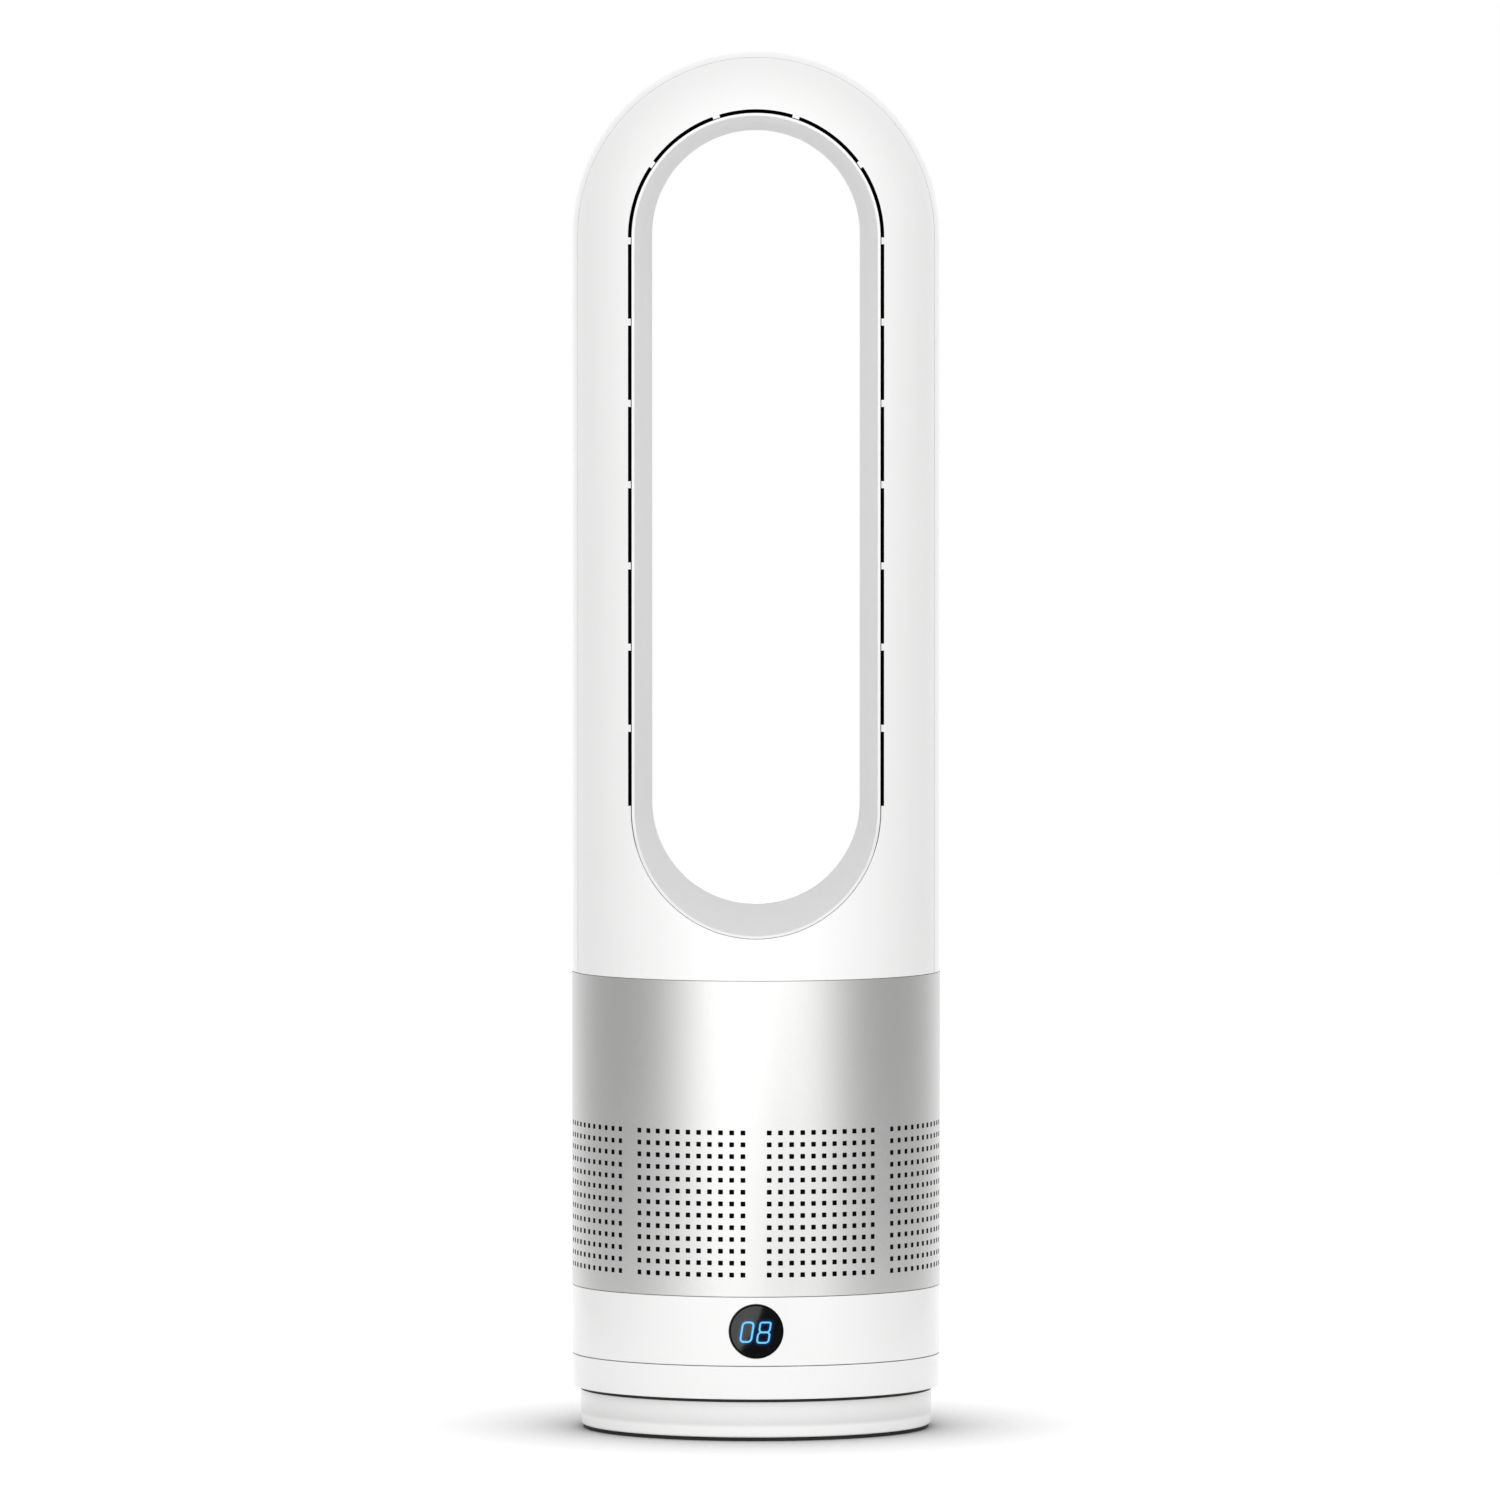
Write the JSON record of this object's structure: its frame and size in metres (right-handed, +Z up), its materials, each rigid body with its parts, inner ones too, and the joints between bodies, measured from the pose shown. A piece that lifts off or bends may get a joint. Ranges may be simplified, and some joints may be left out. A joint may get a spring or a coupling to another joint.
{
  "type": "bladeless tower fan",
  "caption": "Upright bladeless fan: round swinging base with a display, perforated silver sleeve, and a tall hollow hoop with a racetrack opening and air slots.",
  "frame": {"origin": "centre of the footprint, on the surface that the fan stands on", "axes": "+Z up, -Y the front with the display and the air slots, +X to the right as seen from the front"},
  "size_m": [0.22, 0.22, 0.822],
  "materials": {
    "white_housing": "satin to gloss white moulded ABS",
    "silver_sheet": "satin silver coated sheet, perforated",
    "black_moulding": "black moulded plastic",
    "grey_moulding": "grey moulded plastic",
    "rubber": "black rubber",
    "ballast_iron": "cast iron ring, painted dark",
    "steel": "zinc plated steel",
    "acetal": "natural acetal",
    "display_window": "polished black acrylic",
    "circuit_board": "solder-masked circuit board"
  },
  "bodies": {
    "base": {"foot_ring": "rubber", "base_pan": "black_moulding", "ballast_plate": "ballast_iron", "base_drum": "white_housing", "power_inlet": "black_moulding", "slip_ring": "acetal", "swing_sector": "acetal", "pan_screw_1": "steel", "pan_screw_2": "steel", "pan_screw_3": "steel", "pan_screw_4": "steel"},
    "head": {"turntable": "white_housing", "pivot_retainer": "steel", "retainer_screw_1": "steel", "retainer_screw_2": "steel", "retainer_screw_3": "steel", "swing_motor": "steel", "control_ring": "white_housing", "display_lens": "display_window", "display_reflector": "acetal", "display_board": "circuit_board", "air_deck": "grey_moulding", "main_board": "circuit_board", "sleeve": "silver_sheet", "bellmouth": "black_moulding", "fan_shroud": "grey_moulding", "guide_vanes": "black_moulding", "motor_isolator": "rubber", "motor_can": "steel", "lower_bearing": "steel", "upper_bearing": "steel", "tail_cone": "black_moulding", "hoop_front_shell": "white_housing", "hoop_rear_shell": "white_housing", "nozzle_ring": "white_housing", "hoop_screw_1": "steel", "hoop_screw_2": "steel", "hoop_screw_3": "steel", "hoop_screw_4": "steel"},
    "impeller_rotor": {"impeller": "black_moulding", "impeller_nut": "steel", "motor_shaft": "steel"},
    "pinion": {"swing_pinion": "acetal"}
  },
  "joints": [
    {"name": "head_swing", "type": "hinge", "parent": "base", "child": "head", "pos_m": [0, 0, 0.0246], "axis": [0, 0, 1], "range_deg": [-40, 40]},
    {"name": "impeller_spin", "type": "hinge", "parent": "head", "child": "impeller_rotor", "pos_m": [0, 0, 0.21], "axis": [0, 0, 1], "continuous": true},
    {"name": "pinion_turn", "type": "hinge", "parent": "head", "child": "pinion", "pos_m": [0, 0.054, 0.028], "axis": [0, 0, 1], "range_deg": [-220.5, 220.5]}
  ],
  "couplings": [
    {"joint": "pinion_turn", "follows": "head_swing", "ratio": -5.5}
  ]
}
